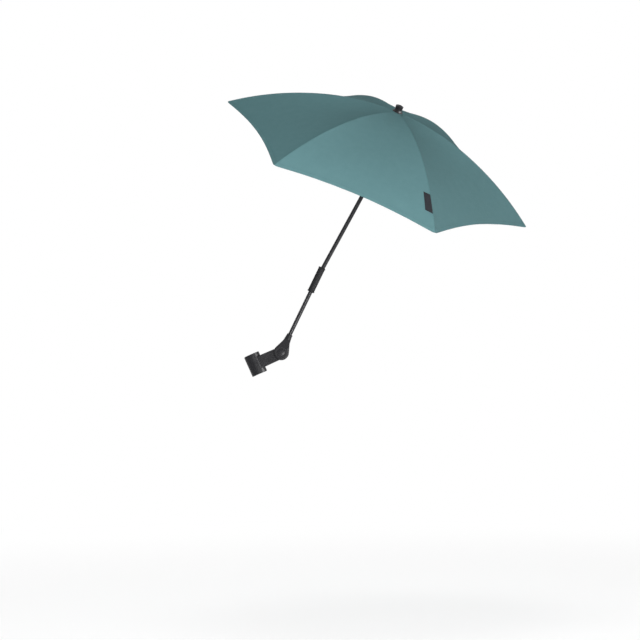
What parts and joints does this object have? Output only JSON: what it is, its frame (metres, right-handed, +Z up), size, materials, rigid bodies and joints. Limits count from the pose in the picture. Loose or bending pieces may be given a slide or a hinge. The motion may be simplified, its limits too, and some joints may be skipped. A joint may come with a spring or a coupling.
{
  "type": "pram parasol",
  "caption": "Hexagonal sun parasol with a folding ribbed canopy, a tilt knuckle, a turning pole and a tube clip that fastens it to a pram frame.",
  "frame": {"origin": "centre of the clip's bore, on the axis of the tube that it grips", "axes": "+Z up in use, +X from the clip towards the pole's lean, +Y away from the clip's closed face"},
  "size_m": [0.7362, 0.6514, 0.7285],
  "materials": {
    "black_plastic": "satin moulded",
    "grip_rubber": "soft matt",
    "rod_paint": "satin black",
    "bolt_plastic": "low gloss",
    "steel": "plain zinc",
    "rib_paint": "black enamel",
    "canopy_cloth": "plain weave",
    "label_cloth": "woven, bare"
  },
  "bodies": {
    "clip": {"clip_body": "black_plastic", "clip_liner": "grip_rubber", "pivot_washers": "steel"},
    "arm": {"pivot_bolt": "bolt_plastic", "pivot_nut": "steel", "yoke": "black_plastic", "lower_rod": "rod_paint", "grip_sleeve": "black_plastic", "grub_screw": "steel"},
    "pole": {"upper_pole": "rod_paint", "knuckle_fork": "black_plastic", "knuckle_screw": "steel", "knuckle_nut": "steel"},
    "head": {"knuckle_tongue": "black_plastic", "mast": "rod_paint", "crown": "black_plastic", "crown_ring": "steel", "cap": "black_plastic", "label_patch": "label_cloth", "canopy_panel_1": "canopy_cloth", "canopy_panel_2": "canopy_cloth", "canopy_panel_3": "canopy_cloth", "canopy_panel_4": "canopy_cloth", "canopy_panel_5": "canopy_cloth", "canopy_panel_6": "canopy_cloth"},
    "catch": {"catch_spring": "steel"},
    "runner": {"runner": "black_plastic"},
    "rib_1": {"rib_1": "rib_paint", "rib_bracket_1": "rib_paint"},
    "stretcher_1": {"stretcher_1": "rib_paint"},
    "rib_2": {"rib_2": "rib_paint", "rib_bracket_2": "rib_paint"},
    "stretcher_2": {"stretcher_2": "rib_paint"},
    "rib_3": {"rib_3": "rib_paint", "rib_bracket_3": "rib_paint"},
    "stretcher_3": {"stretcher_3": "rib_paint"},
    "rib_4": {"rib_4": "rib_paint", "rib_bracket_4": "rib_paint"},
    "stretcher_4": {"stretcher_4": "rib_paint"},
    "rib_5": {"rib_5": "rib_paint", "rib_bracket_5": "rib_paint"},
    "stretcher_5": {"stretcher_5": "rib_paint"},
    "rib_6": {"rib_6": "rib_paint", "rib_bracket_6": "rib_paint"},
    "stretcher_6": {"stretcher_6": "rib_paint"}
  },
  "joints": [
    {"name": "arm_tilt", "type": "hinge", "parent": "clip", "child": "arm", "pos_m": [0.06395, -0.0115, 0.02847], "axis": [0, 1, 0], "range_deg": [-50, 90]},
    {"name": "pole_swivel", "type": "hinge", "parent": "arm", "child": "pole", "pos_m": [0.1513, -0.0115, 0.20917], "axis": [0.4787, 0, 0.878], "continuous": true},
    {"name": "canopy_tilt", "type": "hinge", "parent": "pole", "child": "head", "pos_m": [0.27743, -0.0115, 0.44051], "axis": [-0.8496, 0.2521, 0.4632], "range_deg": [-27, 22.97]},
    {"name": "canopy_fold", "type": "hinge", "parent": "head", "child": "rib_1", "pos_m": [0.35705, -0.08726, 0.60788], "axis": [0.1686, 0.9256, 0.3388], "range_deg": [0, 62.07], "deforming": ["canopy_panel_1", "canopy_panel_2", "canopy_panel_3", "canopy_panel_4", "canopy_panel_5", "canopy_panel_6", "label_patch", "catch_spring"]},
    {"name": "stretcher_fold_1", "type": "hinge", "parent": "rib_1", "child": "stretcher_1", "pos_m": [0.41523, -0.0862, 0.57604], "axis": [-0.1686, -0.9256, -0.3388], "range_deg": [-0.5, 88.2]},
    {"name": "rib_fold_2", "type": "hinge", "parent": "head", "child": "rib_2", "pos_m": [0.35406, -0.07953, 0.61253], "axis": [-0.7122, 0.4838, 0.5086], "range_deg": [-0.5, 62.57]},
    {"name": "stretcher_fold_2", "type": "hinge", "parent": "rib_2", "child": "stretcher_2", "pos_m": [0.39154, -0.0248, 0.61296], "axis": [0.7122, -0.4838, -0.5086], "range_deg": [-0.5, 88.2]},
    {"name": "rib_fold_3", "type": "hinge", "parent": "head", "child": "rib_3", "pos_m": [0.34533, -0.0793, 0.61625], "axis": [-0.8809, -0.4419, 0.1698], "range_deg": [-0.5, 62.57]},
    {"name": "stretcher_fold_3", "type": "hinge", "parent": "rib_3", "child": "stretcher_3", "pos_m": [0.32213, -0.02297, 0.64252], "axis": [0.8809, 0.4419, -0.1698], "range_deg": [-0.5, 88.2]},
    {"name": "rib_fold_4", "type": "hinge", "parent": "head", "child": "rib_4", "pos_m": [0.33957, -0.0868, 0.61533], "axis": [-0.1686, -0.9256, -0.3388], "range_deg": [-0.5, 62.57]},
    {"name": "stretcher_fold_4", "type": "hinge", "parent": "rib_4", "child": "stretcher_4", "pos_m": [0.27641, -0.08255, 0.63516], "axis": [0.1686, 0.9256, 0.3388], "range_deg": [-0.5, 88.2]},
    {"name": "rib_fold_5", "type": "hinge", "parent": "head", "child": "rib_5", "pos_m": [0.34255, -0.09453, 0.61068], "axis": [0.7122, -0.4838, -0.5086], "range_deg": [-0.5, 62.57]},
    {"name": "stretcher_fold_5", "type": "hinge", "parent": "rib_5", "child": "stretcher_5", "pos_m": [0.30009, -0.14396, 0.59824], "axis": [-0.7122, 0.4838, 0.5086], "range_deg": [-0.5, 88.2]},
    {"name": "rib_fold_6", "type": "hinge", "parent": "head", "child": "rib_6", "pos_m": [0.35129, -0.09476, 0.60696], "axis": [0.8809, 0.4419, -0.1698], "range_deg": [-0.5, 62.57]},
    {"name": "stretcher_fold_6", "type": "hinge", "parent": "rib_6", "child": "stretcher_6", "pos_m": [0.3695, -0.14578, 0.56868], "axis": [-0.8809, -0.4419, 0.1698], "range_deg": [-0.5, 88.2]},
    {"name": "runner_slide", "type": "slide", "parent": "head", "child": "runner", "axis": [-0.3544, 0.3776, -0.8555], "range_m": [-0.0005, 0.07567]},
    {"name": "catch_press", "type": "slide", "parent": "head", "child": "catch", "axis": [-0.8809, -0.4419, 0.1698], "range_m": [0, 0.003], "stiffness_N_per_m": 900}
  ],
  "couplings": [
    {"joint": "stretcher_fold_1", "follows": "canopy_fold", "ratio": 1.4128},
    {"joint": "rib_fold_2", "follows": "canopy_fold", "ratio": 1},
    {"joint": "stretcher_fold_2", "follows": "canopy_fold", "ratio": 1.4128},
    {"joint": "rib_fold_3", "follows": "canopy_fold", "ratio": 1},
    {"joint": "stretcher_fold_3", "follows": "canopy_fold", "ratio": 1.4128},
    {"joint": "rib_fold_4", "follows": "canopy_fold", "ratio": 1},
    {"joint": "stretcher_fold_4", "follows": "canopy_fold", "ratio": 1.4128},
    {"joint": "rib_fold_5", "follows": "canopy_fold", "ratio": 1},
    {"joint": "stretcher_fold_5", "follows": "canopy_fold", "ratio": 1.4128},
    {"joint": "rib_fold_6", "follows": "canopy_fold", "ratio": 1},
    {"joint": "stretcher_fold_6", "follows": "canopy_fold", "ratio": 1.4128},
    {"joint": "runner_slide", "follows": "canopy_fold", "m_per_rad": 0.069387}
  ]
}
